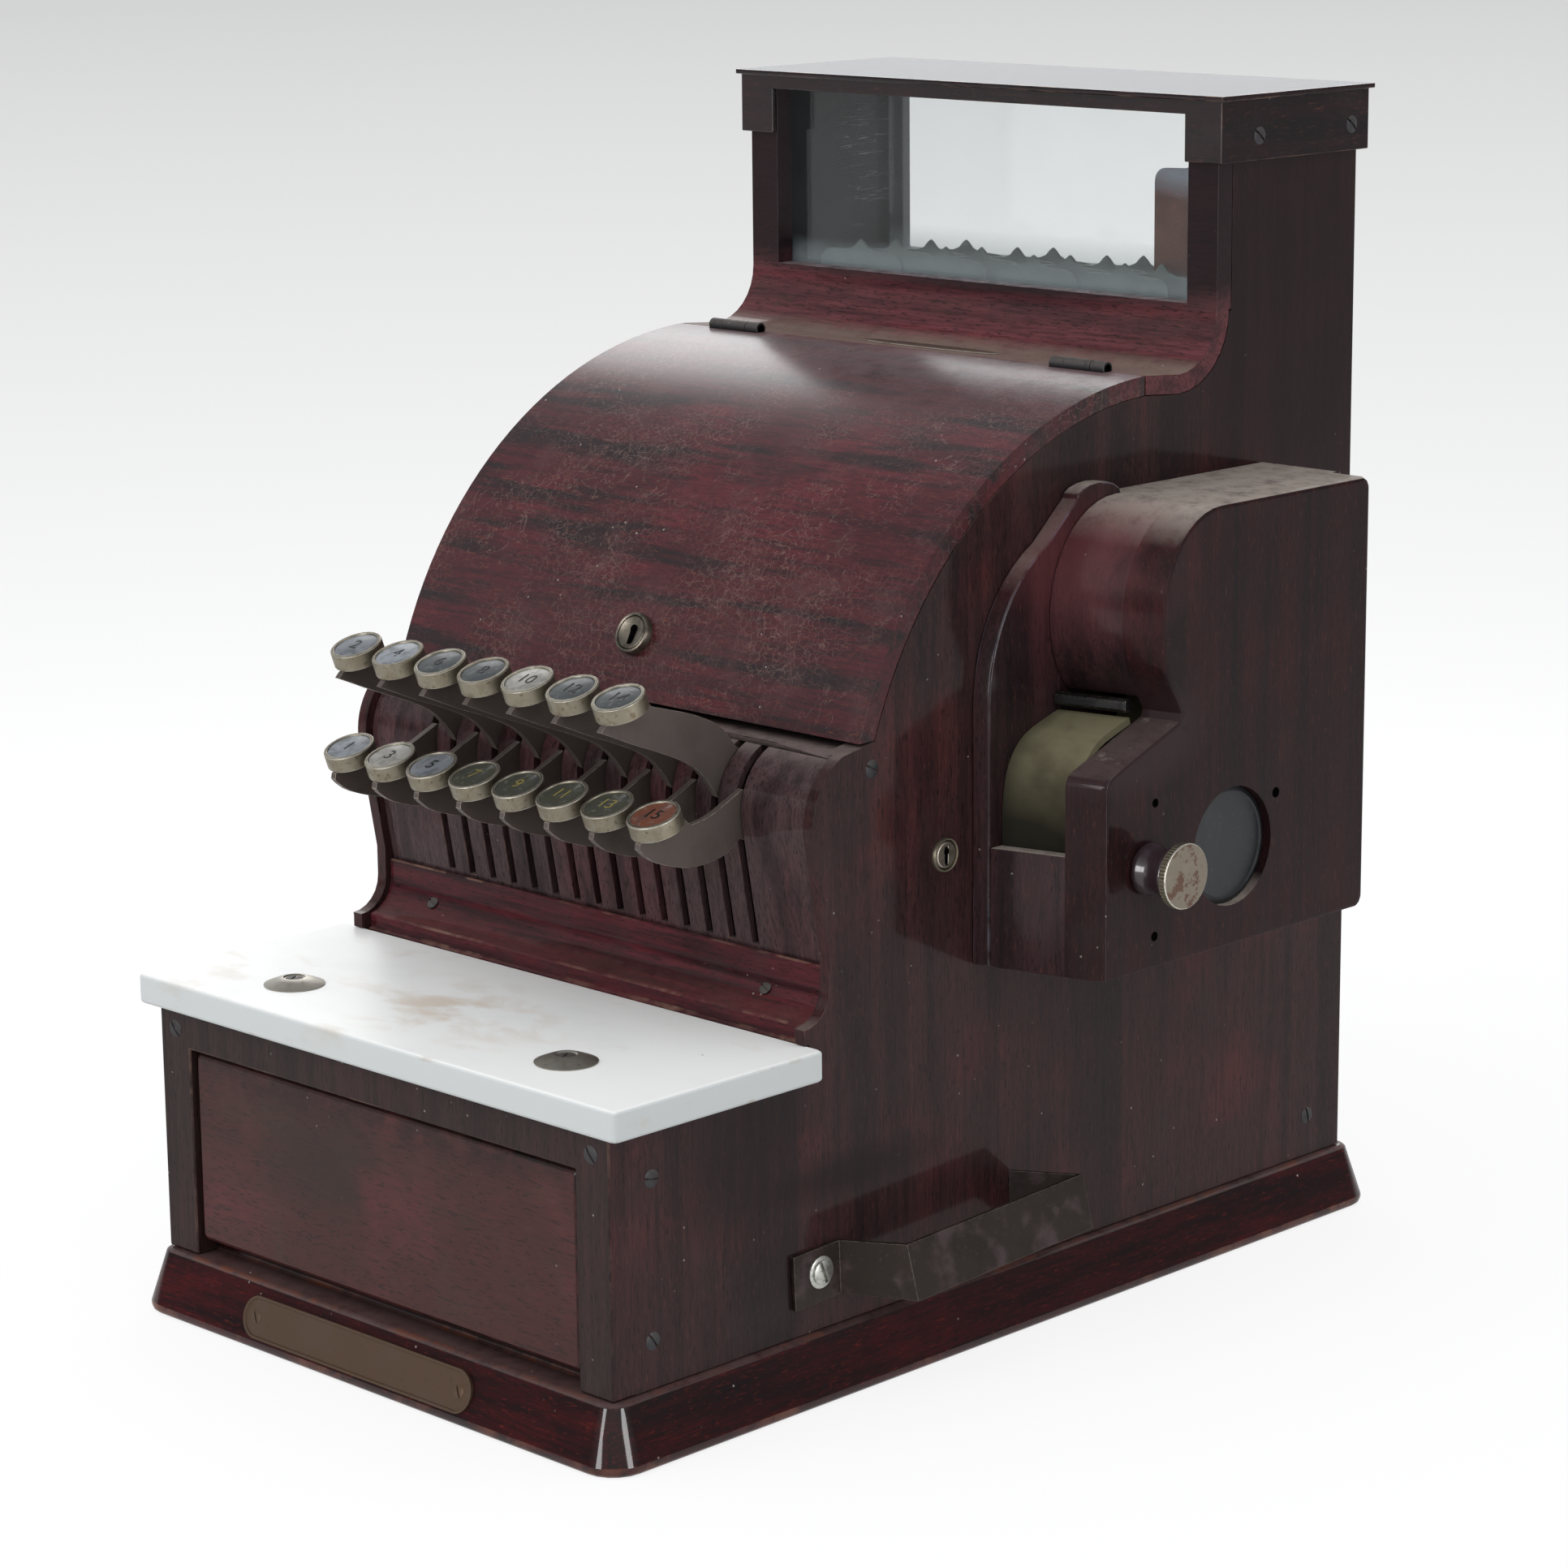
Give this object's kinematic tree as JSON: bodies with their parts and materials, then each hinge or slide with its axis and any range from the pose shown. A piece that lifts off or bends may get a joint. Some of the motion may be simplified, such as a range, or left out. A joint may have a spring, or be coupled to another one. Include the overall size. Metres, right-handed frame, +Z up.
{
  "type": "ticket register",
  "caption": "Counter register with a drawer under a marble shelf, lever keys, a curved hinged lid, a glazed display for pop-up tablets and a ticket printer on its side.",
  "frame": {"origin": "on the plinth's flat underside, under the middle of the cabinet", "axes": "+X to the clerk's right, where the printer is; +Y from the drawer front to the back; +Z up"},
  "size_m": [0.3136, 0.408, 0.432],
  "materials": {
    "mahogany": "dark red stained and varnished, semi-gloss, worn edges",
    "lid_wood": "dusty red-brown stain with crackled varnish",
    "inner_wood": "bare",
    "marble": "polished white with beige stains",
    "glass": "clear, slightly dusty",
    "lever_steel": "aged, worn nickel plating",
    "nickel": "worn nickel plating",
    "dark_steel": "blackened",
    "tablet_paint": "aged khaki grey enamel",
    "flag_paint": "aged brown enamel with a dusty top",
    "paper": "aged khaki",
    "black_bar": "black enamel"
  },
  "bodies": {
    "case": {"base_plinth": "mahogany", "side_panel_left": "mahogany", "side_panel_right": "mahogany", "back_panel": "mahogany", "front_frame": "mahogany", "breast_plate": "mahogany", "cove_moulding": "mahogany", "neck_panel": "mahogany", "display_cap": "mahogany", "printer_cheek": "mahogany", "printer_shell": "mahogany", "printer_side": "mahogany", "mechanism_deck": "inner_wood", "marble_shelf": "marble", "front_glass": "glass", "rear_glass": "glass", "hinge_left": "dark_steel", "hinge_right": "dark_steel", "key_shaft": "dark_steel", "tablet_guide": "dark_steel", "side_bracket": "dark_steel", "paper_platen": "paper", "tear_bar": "black_bar"},
    "drawer": {"drawer_front": "mahogany", "drawer_box": "inner_wood"},
    "lid": {"lid": "lid_wood"},
    "lid_lock": {"lid_lock": "nickel"},
    "side_lock": {"side_lock": "nickel"},
    "feed_knob": {"feed_knob": "nickel"},
    "paper_roll": {"paper_roll": "paper"},
    "key_01": {"key_01": "lever_steel"},
    "key_02": {"key_02": "lever_steel"},
    "key_03": {"key_03": "lever_steel"},
    "key_04": {"key_04": "lever_steel"},
    "key_05": {"key_05": "lever_steel"},
    "key_06": {"key_06": "lever_steel"},
    "key_07": {"key_07": "lever_steel"},
    "key_08": {"key_08": "lever_steel"},
    "key_09": {"key_09": "lever_steel"},
    "key_10": {"key_10": "lever_steel"},
    "key_11": {"key_11": "lever_steel"},
    "key_12": {"key_12": "lever_steel"},
    "key_13": {"key_13": "lever_steel"},
    "key_14": {"key_14": "lever_steel"},
    "key_15": {"key_15": "lever_steel"},
    "tablet_01": {"tablet_01": "tablet_paint"},
    "tablet_02": {"tablet_02": "tablet_paint"},
    "tablet_03": {"tablet_03": "tablet_paint"},
    "tablet_04": {"tablet_04": "tablet_paint"},
    "tablet_05": {"tablet_05": "tablet_paint"},
    "tablet_06": {"tablet_06": "tablet_paint"},
    "tablet_07": {"tablet_07": "tablet_paint"},
    "tablet_08": {"tablet_08": "tablet_paint"},
    "tablet_09": {"tablet_09": "tablet_paint"},
    "tablet_10": {"tablet_10": "tablet_paint"},
    "tablet_11": {"tablet_11": "tablet_paint"},
    "tablet_12": {"tablet_12": "tablet_paint"},
    "tablet_13": {"tablet_13": "tablet_paint"},
    "tablet_14": {"tablet_14": "tablet_paint"},
    "tablet_15": {"tablet_15": "flag_paint"}
  },
  "joints": [
    {"name": "drawer_slide", "type": "slide", "parent": "case", "child": "drawer", "axis": [0, -1, 0], "range_m": [0, 0.2]},
    {"name": "lid_hinge", "type": "hinge", "parent": "case", "child": "lid", "pos_m": [0, 0.0735, 0.33689], "axis": [-1, 0, 0], "range_deg": [0, 100]},
    {"name": "lid_lock_turn", "type": "hinge", "parent": "lid", "child": "lid_lock", "pos_m": [0, -0.06529, 0.24727], "axis": [0, -0.891, 0.454], "range_deg": [0, 90]},
    {"name": "side_lock_turn", "type": "hinge", "parent": "case", "child": "side_lock", "pos_m": [0.118, -0.03218, 0.1804], "axis": [1, 0, 0], "range_deg": [0, 90]},
    {"name": "feed_turn", "type": "hinge", "parent": "case", "child": "feed_knob", "pos_m": [0.168, 0.01682, 0.175], "axis": [1, 0, 0], "continuous": true},
    {"name": "roll_turn", "type": "hinge", "parent": "case", "child": "paper_roll", "pos_m": [0.138, 0.08167, 0.19425], "axis": [1, 0, 0], "continuous": true},
    {"name": "key_01_press", "type": "hinge", "parent": "case", "child": "key_01", "pos_m": [-0.0791, -0.01502, 0.17], "axis": [1, 0, 0], "range_deg": [0, 13.5], "stiffness_Nm_per_rad": 0.25, "springref_deg": -17.19},
    {"name": "tablet_01_lift", "type": "slide", "parent": "case", "child": "tablet_01", "axis": [0, 0, 1], "range_m": [0, 0.03555]},
    {"name": "key_02_press", "type": "hinge", "parent": "case", "child": "key_02", "pos_m": [-0.0678, -0.01502, 0.17], "axis": [1, 0, 0], "range_deg": [0, 13.5], "stiffness_Nm_per_rad": 0.25, "springref_deg": -17.19},
    {"name": "tablet_02_lift", "type": "slide", "parent": "case", "child": "tablet_02", "axis": [0, 0, 1], "range_m": [0, 0.03743]},
    {"name": "key_03_press", "type": "hinge", "parent": "case", "child": "key_03", "pos_m": [-0.0565, -0.01502, 0.17], "axis": [1, 0, 0], "range_deg": [0, 13.5], "stiffness_Nm_per_rad": 0.25, "springref_deg": -17.19},
    {"name": "tablet_03_lift", "type": "slide", "parent": "case", "child": "tablet_03", "axis": [0, 0, 1], "range_m": [0, 0.03932]},
    {"name": "key_04_press", "type": "hinge", "parent": "case", "child": "key_04", "pos_m": [-0.0452, -0.01502, 0.17], "axis": [1, 0, 0], "range_deg": [0, 13.5], "stiffness_Nm_per_rad": 0.25, "springref_deg": -17.19},
    {"name": "tablet_04_lift", "type": "slide", "parent": "case", "child": "tablet_04", "axis": [0, 0, 1], "range_m": [0, 0.0412]},
    {"name": "key_05_press", "type": "hinge", "parent": "case", "child": "key_05", "pos_m": [-0.0339, -0.01502, 0.17], "axis": [1, 0, 0], "range_deg": [0, 13.5], "stiffness_Nm_per_rad": 0.25, "springref_deg": -17.19},
    {"name": "tablet_05_lift", "type": "slide", "parent": "case", "child": "tablet_05", "axis": [0, 0, 1], "range_m": [0, 0.03555]},
    {"name": "key_06_press", "type": "hinge", "parent": "case", "child": "key_06", "pos_m": [-0.0226, -0.01502, 0.17], "axis": [1, 0, 0], "range_deg": [0, 13.5], "stiffness_Nm_per_rad": 0.25, "springref_deg": -17.19},
    {"name": "tablet_06_lift", "type": "slide", "parent": "case", "child": "tablet_06", "axis": [0, 0, 1], "range_m": [0, 0.03743]},
    {"name": "key_07_press", "type": "hinge", "parent": "case", "child": "key_07", "pos_m": [-0.0113, -0.01502, 0.17], "axis": [1, 0, 0], "range_deg": [0, 13.5], "stiffness_Nm_per_rad": 0.25, "springref_deg": -17.19},
    {"name": "tablet_07_lift", "type": "slide", "parent": "case", "child": "tablet_07", "axis": [0, 0, 1], "range_m": [0, 0.03932]},
    {"name": "key_08_press", "type": "hinge", "parent": "case", "child": "key_08", "pos_m": [0, -0.01502, 0.17], "axis": [1, 0, 0], "range_deg": [0, 13.5], "stiffness_Nm_per_rad": 0.25, "springref_deg": -17.19},
    {"name": "tablet_08_lift", "type": "slide", "parent": "case", "child": "tablet_08", "axis": [0, 0, 1], "range_m": [0, 0.0412]},
    {"name": "key_09_press", "type": "hinge", "parent": "case", "child": "key_09", "pos_m": [0.0113, -0.01502, 0.17], "axis": [1, 0, 0], "range_deg": [0, 13.5], "stiffness_Nm_per_rad": 0.25, "springref_deg": -17.19},
    {"name": "tablet_09_lift", "type": "slide", "parent": "case", "child": "tablet_09", "axis": [0, 0, 1], "range_m": [0, 0.03555]},
    {"name": "key_10_press", "type": "hinge", "parent": "case", "child": "key_10", "pos_m": [0.0226, -0.01502, 0.17], "axis": [1, 0, 0], "range_deg": [0, 13.5], "stiffness_Nm_per_rad": 0.25, "springref_deg": -17.19},
    {"name": "tablet_10_lift", "type": "slide", "parent": "case", "child": "tablet_10", "axis": [0, 0, 1], "range_m": [0, 0.03743]},
    {"name": "key_11_press", "type": "hinge", "parent": "case", "child": "key_11", "pos_m": [0.0339, -0.01502, 0.17], "axis": [1, 0, 0], "range_deg": [0, 13.5], "stiffness_Nm_per_rad": 0.25, "springref_deg": -17.19},
    {"name": "tablet_11_lift", "type": "slide", "parent": "case", "child": "tablet_11", "axis": [0, 0, 1], "range_m": [0, 0.03932]},
    {"name": "key_12_press", "type": "hinge", "parent": "case", "child": "key_12", "pos_m": [0.0452, -0.01502, 0.17], "axis": [1, 0, 0], "range_deg": [0, 13.5], "stiffness_Nm_per_rad": 0.25, "springref_deg": -17.19},
    {"name": "tablet_12_lift", "type": "slide", "parent": "case", "child": "tablet_12", "axis": [0, 0, 1], "range_m": [0, 0.0412]},
    {"name": "key_13_press", "type": "hinge", "parent": "case", "child": "key_13", "pos_m": [0.0565, -0.01502, 0.17], "axis": [1, 0, 0], "range_deg": [0, 13.5], "stiffness_Nm_per_rad": 0.25, "springref_deg": -17.19},
    {"name": "tablet_13_lift", "type": "slide", "parent": "case", "child": "tablet_13", "axis": [0, 0, 1], "range_m": [0, 0.03555]},
    {"name": "key_14_press", "type": "hinge", "parent": "case", "child": "key_14", "pos_m": [0.0678, -0.01502, 0.17], "axis": [1, 0, 0], "range_deg": [0, 13.5], "stiffness_Nm_per_rad": 0.25, "springref_deg": -17.19},
    {"name": "tablet_14_lift", "type": "slide", "parent": "case", "child": "tablet_14", "axis": [0, 0, 1], "range_m": [0, 0.03743]},
    {"name": "key_15_press", "type": "hinge", "parent": "case", "child": "key_15", "pos_m": [0.0791, -0.01502, 0.17], "axis": [1, 0, 0], "range_deg": [0, 13.5], "stiffness_Nm_per_rad": 0.25, "springref_deg": -17.19},
    {"name": "tablet_15_drop", "type": "slide", "parent": "case", "child": "tablet_15", "axis": [0, 0, 1], "range_m": [-0.03912, 0]}
  ],
  "couplings": [
    {"joint": "roll_turn", "follows": "feed_turn", "ratio": 0.3167},
    {"joint": "tablet_01_lift", "follows": "key_01_press", "m_per_rad": 0.15002},
    {"joint": "tablet_02_lift", "follows": "key_02_press", "m_per_rad": 0.15802},
    {"joint": "tablet_03_lift", "follows": "key_03_press", "m_per_rad": 0.16602},
    {"joint": "tablet_04_lift", "follows": "key_04_press", "m_per_rad": 0.17402},
    {"joint": "tablet_05_lift", "follows": "key_05_press", "m_per_rad": 0.15002},
    {"joint": "tablet_06_lift", "follows": "key_06_press", "m_per_rad": 0.15802},
    {"joint": "tablet_07_lift", "follows": "key_07_press", "m_per_rad": 0.16602},
    {"joint": "tablet_08_lift", "follows": "key_08_press", "m_per_rad": 0.17402},
    {"joint": "tablet_09_lift", "follows": "key_09_press", "m_per_rad": 0.15002},
    {"joint": "tablet_10_lift", "follows": "key_10_press", "m_per_rad": 0.15802},
    {"joint": "tablet_11_lift", "follows": "key_11_press", "m_per_rad": 0.16602},
    {"joint": "tablet_12_lift", "follows": "key_12_press", "m_per_rad": 0.17402},
    {"joint": "tablet_13_lift", "follows": "key_13_press", "m_per_rad": 0.15002},
    {"joint": "tablet_14_lift", "follows": "key_14_press", "m_per_rad": 0.15802}
  ]
}
